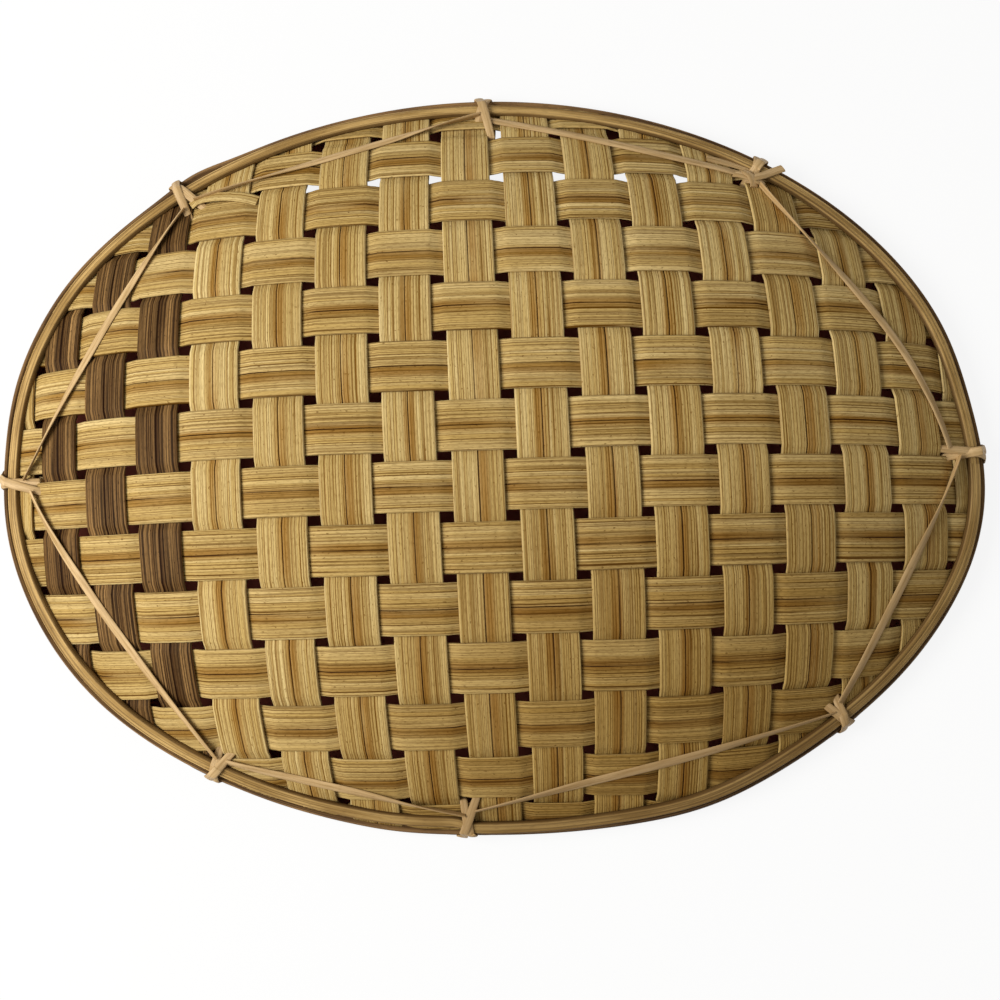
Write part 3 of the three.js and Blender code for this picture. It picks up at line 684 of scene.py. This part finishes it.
# Rattan rod and cane skin: smoother, with long streaks along the rod and darker sides
# the last colour of each look is the painted shade over the front right of the tray
rodLook = {
    "outer": {
        "pale": "#BB985C", "main": "#95743E", "streak": "#5A401C", "side": "#40290F", "shadeTint": "#5A421C",
        "roughness": 0.6, "sideFrom": 1.7 * mm, "sideTo": 2.8 * mm, "streakShare": 0.7, "relief": 0.5,
    },
    # the inner hoop is a browner rod; the dark colour on its sides is painted shade from the outer hoop over
    # it
    "inner": {
        "pale": "#8A683E", "main": "#684C2D", "streak": "#3A2612", "side": "#342210", "shadeTint": "#46321C",
        "roughness": 0.6, "sideFrom": 2.4 * mm, "sideTo": 4 * mm, "streakShare": 0.8, "relief": 0.5,
    },
    "lacing": {
        "pale": "#C6A676", "main": "#A68656", "streak": "#7A5C36", "side": "#987A50", "shadeTint": "#80633C",
        "roughness": 0.5, "sideFrom": 1.2 * mm, "sideTo": 1.7 * mm, "streakShare": 0.5, "relief": 0.12,
    },
    "noises": {"streak": (1000 / 7, 0.6, 3), "patch": (28, 2.5, 2), "fleck": (3, 0.5, 2)},
    "reliefDepth": 0.15 * mm, "surface": {"IOR": 1.45, "Specular IOR Level": 0.22},
}


def makeRodMaterial(name, look):
    material, tree, values = startCane(name, rodLook["noises"])
    endCane(tree, values, look, {
        "ranges": {
            # painted shade over the front right, at most a little over half strength on rods and lacing
            "paintedShadeMix": ("fromPaintedShade", paintedShadeSide["full"], paintedShadeSide["reach"], 0.55, 0),
            "patchMix": ("patch", 0.35, 0.65, 0, 1), "fleckMix": ("fleck", 0.58, 0.75, 0, 0.35),
            "streakMix": ("streak", 0.46, 0.66, 0, look["streakShare"]),
            "sideMix": ("aside", look["sideFrom"], look["sideTo"], 0, 0.75),
        },
        "formulas": [],
        "layers": [("patchMix", "main"), ("paintedShadeMix", "shadeTint"), ("streakMix", "streak"), ("fleckMix", "streak"),
                   ("sideMix", "side")],
        "height": "streak", "bump": {"Strength": look["relief"], "Distance": rodLook["reliefDepth"]},
        "surface": {**rodLook["surface"], "Roughness": look["roughness"]},
    })
    return material


stripMaterials = {
    "cross": makeStripMaterial("splitCaneColumn", stripLook["column"]),
    "long": makeStripMaterial("splitCaneRow", stripLook["row"]),
    "smoked": makeStripMaterial("splitCaneSmoked", stripLook["smoked"]),
}
outerRod = makeRodMaterial("rattanRodOuter", rodLook["outer"])
innerRod = makeRodMaterial("rattanRodInner", rodLook["inner"])
caneSkin = makeRodMaterial("caneSkinLacing", rodLook["lacing"])
print("materials made")


# Lacing: one flat cane strand, tied round both hoops at eight places
lacing = {
    "width": 3.2 * mm, "thickness": 0.85 * mm, "hug": 0.18 * mm, "over": 0.7 * mm, "layGap": 0.05 * mm,
    "weaveTop": 0.95 * mm,  # above the bowl
    "tieBreadth": 1.0,  # how broad a band is over the hoops
    "waist": 0.82,  # and how narrow it is drawn where it goes down through the weave
    "pierceHeights": (-0.9 * mm, -2 * mm),
    # each tie: its angle, then in mm where its two bands go down through the weave, how far along the rim the
    # first and the second lie inside and outside, and the places where a span arrives and the next leaves
    "ties": [
        (56.0, (-8.5, -8.5), (-1.1, 1.2), (1.2, -1.2), (4.8, -8.9), (-3.9, -10.0)),
        (2.2, (-14.0, -11.8), (0.8, -2.3), (-2.8, 1.0), (0.9, -11.9), (-2.2, -8.6)),
        (-43.8, (-9.1, -7.8), (-2.4, 1.9), (3.1, -1.9), (2.6, -6.8), (-1.2, -5.4)),
        (-91.9, (-10.4, -13.3), (-2.0, 1.4), (3.1, -2.5), (2.6, -9.4), (-1.2, -7.6)),
        (-123.5, (-8.1, -9.3), (-0.9, 2.0), (4.2, -0.4), (3.4, -6.8), (-0.4, -6.4)),
        (-177.1, (-12.0, -14.8), (2.8, 1.4), (7.7, -2.0), (6.4, -11.4), (1.4, -8.6)),
        (130.8, (-14.6, -13.2), (-5.8, 0.9), (1.9, -0.9), (1.6, -10.6), (-3.4, -10.0)),
        (91.1, (-8.2, -14.3), (1.4, -2.2), (-4.0, 0.8), (0.4, -6.6), (-3.0, -8.4)),
    ],
    "stops": (215, 140, 5, -152.5),  # degrees round the hoops: a band's start, inside, outside and end
    "climb": (85, 60), "fall": (45, 5),  # between these the second band rises over the first and comes down
    "wrapTurn": 7.5,
    # how far each span is turned on edge where it leaves its tie and where it reaches the next
    "twists": [(75, 15), (75, 15), (45, 45), (75, 25), (35, 40), (60, 50), (75, 70), (0, 10)],
    "untwist": 0.5, "retwist": 0.65,  # shares of the span where it is flat again and where it turns again
    "bows": [6.0, 0.5, 0, 0.6, 1.8, 0.6, 0, 0],  # and how far in mm it bows out toward the rim
    "bowShape": 6.75,  # makes the bow's peak 1
    "spanSteps": 36,
    # the strand's ends and the folds of its knot at the first tie, in mm along the rim, up the wall and
    # clear of it
    "knot": [
        [(17, -6.6, 0), (12, -5.4, 0), (7, -4.3, 0.1), (2, -3.4, 0.5), (-1, -3.2, 0.7)],
        [(6.4, -9.2, 0.1), (4.6, -8.9, 0.8), (2, -8.6, 1.3), (-1, -8.2, 1.5), (-3.4, -7.8, 1.2),
         (-5.4, -7.8, 0.3)],
        [(4, -5.8, 0.4), (2.6, -7, 1.5), (0.4, -8.4, 2.1), (-1.6, -9.6, 1.2), (-2.4, -10.4, 0.1)],
        [(0.5, -9.4, 1.0), (-1.2, -7.6, 1.9), (-3.2, -5, 1.9), (-5.6, -1.4, 2.5), (-8, 2.2, 3.1)],
    ],
}
ties = [dict(zip(("angle", "pierce", "under", "over", "arrive", "leave"), row)) for row in lacing["ties"]]


def wayAt(rim, places):
    turns = [(turnFrom(math.degrees(rim["phi"]), place) / spread, amount) for place, spread, amount in places]
    return sum(amount * math.exp(-turn ** 2) for turn, amount in turns)


def outerWay(rim):
    place, amount, part, join = hoop["lap"]
    turn = turnFrom(math.degrees(rim["phi"]), place)
    return amount * math.tanh(turn / part) * math.exp(-(turn / join) ** 2) + wayAt(rim, hoop["outerSet"])


def outerSection(rim, shape):
    wide = hoop["outerInside"] + hoop["outerOutside"]
    way = outerWay(rim)
    section = []
    for across, up in shape:
        h = hoop["outerBottom"] + up * (hoop["outerThickness"] + across * hoop["outerTilt"])
        n, z = onWall(rim, across * wide - hoop["outerInside"], h)
        section.append((n + way, z))
    return section


def innerWay(rim):
    return hoop["innerOut"] + wayAt(rim, hoop["bulges"])


def innerLip(rim):
    way = innerWay(rim)
    return [(n + way, z) for n, z in (onWall(rim, s * mm, h * mm) for s, h in hoop["lip"])]


def innerSection(rim):
    near = onWall(rim, hoop["innerStart"], hoop["innerTop"])
    far = onWall(rim, hoop["innerStart"] + hoop["innerWidth"], hoop["innerTop"])
    section = [near, far, (far[0] - hoop["footInset"], 0), (near[0] + hoop["innerChamfer"], 0),
               (near[0], near[1] - hoop["innerDepth"])]
    way = innerWay(rim)
    return [(n + way, z) for n, z in section]


def cutBelow(section, level):
    kept = []
    for i, a in enumerate(section):
        b = section[(i + 1) % len(section)]
        if a[1] >= level:
            kept.append(a)
        if (a[1] >= level) != (b[1] >= level):
            f = (level - a[1]) / (b[1] - a[1])
            kept.append((a[0] + f * (b[0] - a[0]), level))
    return kept


def wrapStation(angle, alpha, along, lift, pierce):
    rim = rimFrame(angle, along)
    hoops = outerSection(rim, hoop["outerCorners"]) + innerLip(rim)
    hoops += cutBelow(innerSection(rim), hoop["notch"])
    corners = [(n, z, lacing["tieBreadth"]) for n, z in hoops]
    corners += [(*onWall(rim, pierce, h), lacing["waist"]) for h in lacing["pierceHeights"]]
    c, s = math.cos(math.radians(alpha)), math.sin(math.radians(alpha))
    n, z, breadth = max(corners, key=lambda p: p[0] * c + p[1] * s)
    offset = lacing["hug"] + lacing["thickness"] / 2 + lift
    return placeOnRim(rim, n + c * offset, z + s * offset), rim["out"] * c + Vector((0, 0, s)), breadth


def layStation(x, y, lift, twist, heading):
    at, normal = domePoint(x, y)
    tall = abs(math.cos(twist)) * lacing["thickness"] + abs(math.sin(twist)) * lacing["width"]
    height = lacing["weaveTop"] + weave["crown"] + lacing["layGap"] + tall / 2 + lift
    side = normal.cross(heading).normalized()
    return at + normal * height, normal * math.cos(twist) + side * math.sin(twist), 1


def nearTie(angle, along, s, lift=0):  # mm along the rim, up the wall and clear of it
    rim = rimFrame(angle, along * mm)
    n = s * mm * math.cos(rim["slope"])
    x, y = rim["x"] + rim["out"].x * n, rim["y"] + rim["out"].y * n
    return layStation(x, y, lift * mm, 0, Vector((1, 0, 0)))


def between(value, low, high, first, last):
    f = min(max((value - low) / (high - low), 0), 1)
    return first + f * (last - first)


# One turn round both hoops, moved along the rim in step with the length of strand used
def wrap(angle, stops, lift, pierce):
    turns = []
    alpha = stops[0][0]
    while alpha > stops[-1][0] - tiny:
        turns.append(alpha)
        alpha -= lacing["wrapTurn"]
    flat = [wrapStation(angle, alpha, 0, 0, pierce)[0] for alpha in turns]
    run = [0]
    for a, b in zip(flat, flat[1:]):
        run.append(run[-1] + (b - a).length)
    stopRuns = [run[min(range(len(turns)), key=lambda k: abs(turns[k] - stop[0]))] for stop in stops]
    stations = []
    for k, alpha in enumerate(turns):
        i = max(j for j in range(len(stops) - 1) if stops[j][0] >= alpha - tiny)
        along = between(run[k], stopRuns[i], stopRuns[i + 1], stops[i][1], stops[i + 1][1])
        raised = between(alpha, *lacing["climb"], 0, lift) - between(alpha, *lacing["fall"], 0, lift)
        stations.append(wrapStation(angle, alpha, along, raised, pierce))
    return stations


# A cross over the rim: up through the weave, over both hoops, back below and over again the other way
def tieStations(tie):
    underIn, underOut = (along * mm for along in tie["under"])
    overIn, overOut = (along * mm for along in tie["over"])
    ways = [(underIn, underIn, underOut, overIn), (overIn, overIn, overOut, underIn)]
    stations = []
    for way, lift, pierce in zip(ways, (0, lacing["over"]), tie["pierce"]):
        stations += wrap(tie["angle"], list(zip(lacing["stops"], way)), lift, pierce * mm)
    return stations


def ease(k):
    k = min(max(k, 0), 1)
    return k ** 2 * (3 - 2 * k)


def spanStations(start, end, startTwist, endTwist, bow):
    heading = (end - start).normalized()
    out = Vector((start.x + end.x, start.y + end.y, 0)).normalized() * bow
    flatFrom, flatTo = lacing["untwist"], lacing["retwist"]
    stations = []
    for i in range(lacing["spanSteps"] + 1):
        f = i / lacing["spanSteps"]
        twist = startTwist * (1 - ease(f / flatFrom)) + endTwist * ease((f - flatTo) / (1 - flatTo))
        at = start.lerp(end, f) + out * lacing["bowShape"] * f * f * (1 - f)
        stations.append(layStation(at.x, at.y, 0, math.radians(twist), heading))
    return stations


def lacingRuns():
    runs = []
    for tie, nextTie, twists, bow in zip(ties, ties[1:] + ties[:1], lacing["twists"], lacing["bows"]):
        start = nearTie(tie["angle"], *tie["leave"])[0]
        end = nearTie(nextTie["angle"], *nextTie["arrive"])[0]
        runs += [tieStations(tie), spanStations(start, end, *twists, bow * mm)]
    runs += [[nearTie(ties[0]["angle"], *place) for place in way] for way in lacing["knot"]]
    return runs


# Tree that sweeps a flat strand along its path, with the face looking where the path says
def makeStrandTree():
    tree, source = startTree("layStrand", ["Strand Width", "Strand Thickness", "Across Shift"])
    named = {}
    for name in ("facing", "breadth", "along", "across"):
        kind = "FLOAT_VECTOR" if name == "facing" else "FLOAT"
        named[name] = addNode(tree, "GeometryNodeInputNamedAttribute", {"data_type": kind},
                              {"Name": name})[0]
    path = addNode(tree, "GeometryNodeMeshToCurve", {}, {"Mesh": source["Geometry"]})[0]
    turned = addNode(tree, "GeometryNodeSetCurveNormal", {"mode": "FREE"},
                     {"Curve": path, "Normal": named["facing"]})[0]
    length = addNode(tree, "GeometryNodeSplineParameter")["Length"]
    ring = addNode(tree, "GeometryNodeCurvePrimitiveCircle", {"mode": "RADIUS"},
                   {"Resolution": 16, "Radius": 0.5})[0]
    size = addNode(tree, "ShaderNodeCombineXYZ", {},
                   {0: source["Strand Thickness"], 1: source["Strand Width"], 2: 1.0})[0]
    section = addNode(tree, "GeometryNodeTransform", {}, {"Geometry": ring, "Scale": size})[0]
    at = addNode(tree, "GeometryNodeInputPosition")[0]
    parts = addNode(tree, "ShaderNodeSeparateXYZ", {}, {0: at})
    across = addNode(tree, "ShaderNodeMath", {"operation": "ADD"},
                     {0: parts[1], 1: source["Across Shift"]})[0]
    curves = []
    for curve, name, value in ((turned, "along", length), (section, "across", across)):
        curves.append(addNode(tree, "GeometryNodeStoreNamedAttribute",
                              {"data_type": "FLOAT", "domain": "POINT"},
                              {"Geometry": curve, "Name": name, "Value": value})[0])
    swept = addNode(tree, "GeometryNodeCurveToMesh", {}, {
        "Curve": curves[0], "Profile Curve": curves[1], "Scale": named["breadth"], "Fill Caps": True,
    })[0]
    laid = addNode(tree, "ShaderNodeCombineXYZ", {}, {0: named["along"], 1: named["across"]})[0]
    mapped = addNode(tree, "GeometryNodeStoreNamedAttribute", {"data_type": "FLOAT2", "domain": "CORNER"},
                     {"Geometry": swept, "Name": "laid", "Value": laid})[0]
    return endTree(tree, source, mapped)


def pathMesh(name, runs):
    stations, edges = [], []
    for run in runs:
        start = len(stations)
        stations += run
        edges += [(start + i, start + i + 1) for i in range(len(run) - 1)]
    mesh = bpy.data.meshes.new(name)
    mesh.from_pydata([at for at, face, breadth in stations], edges, [])
    facing = mesh.attributes.new("facing", "FLOAT_VECTOR", "POINT")
    facing.data.foreach_set("vector", [value for at, face, breadth in stations for value in face])
    wide = mesh.attributes.new("breadth", "FLOAT", "POINT")
    wide.data.foreach_set("value", [breadth for at, face, breadth in stations])
    return mesh


# Strips woven
weaveTree = makeWeaveTree()
pieces = []
for strip in listStrips():
    gap, pitch = (weave["longGap"], longPitch) if strip["isCross"] else (weave["crossGap"], crossPitch)
    values = {
        **weaveSizes, "Crosswise": float(strip["isCross"]), "Strip Number": float(strip["index"]),
        "Strip Middle": strip["middle"], "Open Share": gap / pitch / 2,
        "Material": stripMaterials[strip["kind"]],
    }
    piece = runTree(strip["node"] + "_woven", stripMesh(strip), weaveTree, values)
    slot = "smoked_strip" if strip["kind"] == "smoked" else "natural_strip"
    pieces.append((piece, strip["node"], slot))
print("strips woven", len(pieces))


rimSizes = {"Half Length": halfLength, "Half Width": halfWidth}


# Hoops: straight rods laid out by angle, way out and height, bent round the rim by a tree
def makeRimTree():
    tree, source, values = startMove("bendRound", rimSizes, ("angle", "out", "z"))
    workOut(tree, values, [
        ("c", "COSINE", "angle"), ("s", "SINE", "angle"),
        ("x", "MULTIPLY", "c", "Half Length"), ("y", "MULTIPLY", "s", "Half Width"),
        ("faceX", "DIVIDE", "c", "Half Length"), ("faceY", "DIVIDE", "s", "Half Width"),
        ("square", "MULTIPLY", "faceX", "faceX"), ("sum", "MULTIPLY_ADD", "faceY", "faceY", "square"),
        ("size", "SQRT", "sum"), ("step", "DIVIDE", "out", "size"),
        ("X", "MULTIPLY_ADD", "faceX", "step", "x"), ("Y", "MULTIPLY_ADD", "faceY", "step", "y"),
        ("place", "COMBINE", "X", "Y", "z"),
    ])
    return endMove(tree, source, values["place"])


def hoopMesh(name, sectionOf, seed):
    rng = random.Random(seed)
    count = hoop["stations"]
    waves = [(rng.randint(*hoop["wobbleTurns"]), rng.uniform(0, fullTurn))
             for _ in range(hoop["wobbleWaves"])]
    rings, runs = [], [0]
    for i in range(count):
        rim = rimFrame(360 * i / count)
        off = hoop["wobble"] * sum(math.sin(n * rim["phi"] + p) for n, p in waves) / len(waves)
        rings.append([(rim["phi"], n + off, z) for n, z in sectionOf(rim)])
        step = math.hypot(halfLength * math.sin(rim["phi"]), halfWidth * math.cos(rim["phi"]))
        runs.append(runs[-1] + step * 2 * math.pi / count)
    first = rings[0]
    around = [0]
    for k in range(len(first)):
        a, b = first[k], first[(k + 1) % len(first)]
        around.append(around[-1] + math.hypot(b[1] - a[1], b[2] - a[2]))
    middle = around[len(first) // 2]
    return meshFromRings(name, rings, lambda i, k: (runs[i], around[k] - middle), True)


def outerRound(rim):
    return outerSection(rim, hoop["outerShape"])


def innerRound(rim):
    near, far, footFar, footNear, edge = innerSection(rim)
    lip = innerLip(rim)
    turns = [math.radians(turnFrom(math.degrees(rim["phi"]), tie["angle"])) for tie in ties]
    isTied = any(abs(turn) * halfWidth < hoop["notchReach"] for turn in turns)
    foot = hoop["notch"] if isTied else 0
    return [(footNear[0], foot), (near[0] + hoop["roundNear"], max(0.6 * edge[1], foot)), edge, near, *lip,
            (lip[-1][0] + hoop["roundLip"], 0.6 * lip[-1][1]),
            (far[0] + hoop["roundFar"], 0.55 * far[1] + 0.5 * foot), (footFar[0], foot)]


rimTree = makeRimTree()
for name, node, sectionOf, material, seed in (("outerHoop", "outer_hoop", outerRound, outerRod, 3),
                                              ("innerHoop", "inner_hoop", innerRound, innerRod, 5)):
    values = {**rimSizes, "Material": material}
    pieces.append((runTree(name, hoopMesh(name + "Rod", sectionOf, seed), rimTree, values), node, "hoop"))
print("hoops bent")

strandTree = makeStrandTree()
strand = runTree("caneLacing", pathMesh("lacingPath", lacingRuns()), strandTree, {
    "Material": caneSkin, "Strand Width": lacing["width"], "Strand Thickness": lacing["thickness"],
    "Across Shift": 0.0,
})
pieces.append((strand, "cane_lacing", "lacing"))
print("lacing tied")

# Half of a lengthwise strip that has split off and lies loose beside the upper left tie
looseHalf = {
    "width": 4.2 * mm, "thickness": 0.7 * mm,
    "acrossShift": 5 * mm,  # the part of the strip's width whose pattern it shows
    "way": [(-102.8, 87.8, 0.4), (-100.8, 89.2, 0.9), (-98, 89.9, 1.1), (-93.5, 90.2, 1.1),
            (-89.1, 90.0, 1.0), (-84.6, 89.4, 0.7), (-81.2, 88.8, 0.1), (-78.9, 88.4, -0.7)],
}
loosePath = [layStation(x * mm, y * mm, lift * mm, 0, Vector((1, 0, 0))) for x, y, lift in looseHalf["way"]]
loose = runTree("looseHalfStrip", pathMesh("loosePath", [loosePath]), strandTree, {
    "Material": stripMaterials["cross"], "Strand Width": looseHalf["width"],
    "Strand Thickness": looseHalf["thickness"], "Across Shift": looseHalf["acrossShift"],
})
pieces.append((loose, None, "natural_strip"))
print("loose half laid")

for piece, node, slot in pieces:
    bendByHand(piece.data)
    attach(piece, "root")
    if node:
        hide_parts(node)


# Pale floor: white to the camera outside the rim; under the tray painted a darker reddish tone as shade,
# which also takes light and shade
stage = {
    # under: the floor under the tray, a darker reddish tone painted as shade
    "size": 4.0, "drop": 0.2 * mm, "white": "#FFFFFF", "floor": "#E4E2DE", "under": "#A85A4A",
    "whiteShare": 0.88,  # the rest takes light and shade
    "rimMargin": (1.4 * mm, 2.4 * mm), "rimShift": -1.2 * mm,
    # painted light: beside the top tie and along the back edge the floor under the tray is white to the
    # camera too
    "byTopTie": (0.5 * mm, 118 * mm, -0.2 * mm), "tieReach": 5 * mm,
    "backReach": 75 * mm, "backMiddle": 101 * mm, "backHalf": 6 * mm,
}


# Rays that see the white background: straight, mirrored or let through
def seenRays(tree):
    path = addNode(tree, "ShaderNodeLightPath")
    values = {kind: path[f"Is {kind} Ray"] for kind in ("Camera", "Glossy", "Transmission")}
    workOut(tree, values, [("plain", "MAXIMUM", "Camera", "Glossy"),
                           ("all", "MAXIMUM", "plain", "Transmission")])
    return values["all"]


def makeFloor():
    material, tree = startMaterial("paleFloor")
    place = addNode(tree, "ShaderNodeTexCoord")["Object"]
    parts = addNode(tree, "ShaderNodeSeparateXYZ", {}, {0: place})
    endMargin, sideMargin = stage["rimMargin"]
    scaled = addNode(tree, "ShaderNodeMapping", {"vector_type": "POINT"}, {
        "Vector": place, "Scale": (1 / (halfLength + endMargin), 1 / (halfWidth + sideMargin), 0),
        "Location": (0, stage["rimShift"] / halfWidth, 0),
    })[0]
    values = {"x": parts[0], "y": parts[1], "place": place, "scaled": scaled, "seen": seenRays(tree)}
    workOut(tree, values, [
        ("away", "LENGTH", "scaled"), ("fromTie", "DISTANCE", "place", stage["byTopTie"]),
        ("isBeyond", "GREATER_THAN", "away", 1.0), ("byTie", "LESS_THAN", "fromTie", stage["tieReach"]),
        ("aside", "ABSOLUTE", "x"), ("isMiddle", "LESS_THAN", "aside", stage["backReach"]),
        ("pastBack", "SUBTRACT", "y", stage["backMiddle"]), ("fromBack", "ABSOLUTE", "pastBack"),
        ("isBack", "LESS_THAN", "fromBack", stage["backHalf"]),
        # patches of painted light under the tray, white like the floor outside
        ("backEdge", "MULTIPLY", "isMiddle", "isBack"), ("paintedLightPatches", "MAXIMUM", "backEdge", "byTie"),
        ("outside", "MAXIMUM", "isBeyond", "paintedLightPatches"),
        ("seenWhite", "MULTIPLY", "seen", "outside"), ("share", "MULTIPLY", "seenWhite", stage["whiteShare"]),
    ])
    shade = addNode(tree, "ShaderNodeMix", {"data_type": "RGBA"},
                    {0: values["outside"], 6: colour(stage["under"]), 7: colour(stage["floor"])})[2]
    plain = addNode(tree, "ShaderNodeBsdfDiffuse", {}, {"Color": shade})[0]
    bright = addNode(tree, "ShaderNodeEmission", {}, {"Color": colour(stage["white"]), "Strength": 1.0})[0]
    mixed = addNode(tree, "ShaderNodeMixShader", {}, {0: values["share"], 1: plain, 2: bright})[0]
    addNode(tree, "ShaderNodeOutputMaterial", {}, {"Surface": mixed})
    half, low = stage["size"] / 2, -stage["drop"]
    mesh = bpy.data.meshes.new("floor")
    corners = [(-half, -half, low), (half, -half, low), (half, half, low), (-half, half, low)]
    mesh.from_pydata(corners, [], [(0, 1, 2, 3)])
    mesh.materials.append(material)
    floor = addObject("floor", mesh)


makeFloor()

# Soft light from the upper left, with a pale room round it
light = {"key": 17.8, "size": 0.68, "place": (-0.85, -0.07, 0.815), "room": 0.36}  # watts and metres


def makeLight():
    data = bpy.data.lights.new("window", "AREA")
    data.energy = light["key"]
    data.size = light["size"]
    lamp = addObject("window", data)
    lamp.location = light["place"]
    lamp.rotation_euler = (-Vector(light["place"])).to_track_quat("-Z", "Y").to_euler()
    world = bpy.data.worlds.new("room")
    bpy.context.scene.world = world
    world.use_nodes = True
    tree = world.node_tree
    tree.nodes.clear()
    strength = addNode(tree, "ShaderNodeMapRange", {}, {
        "Value": seenRays(tree), "To Min": light["room"], "To Max": 1.0,
    })[0]
    sky = addNode(tree, "ShaderNodeBackground", {}, {"Color": colour(stage["white"]), "Strength": strength})
    addNode(tree, "ShaderNodeOutputWorld", {}, {"Surface": sky[0]})


makeLight()
bpy.context.scene.view_settings.view_transform = "Standard"
print("floor and light set")
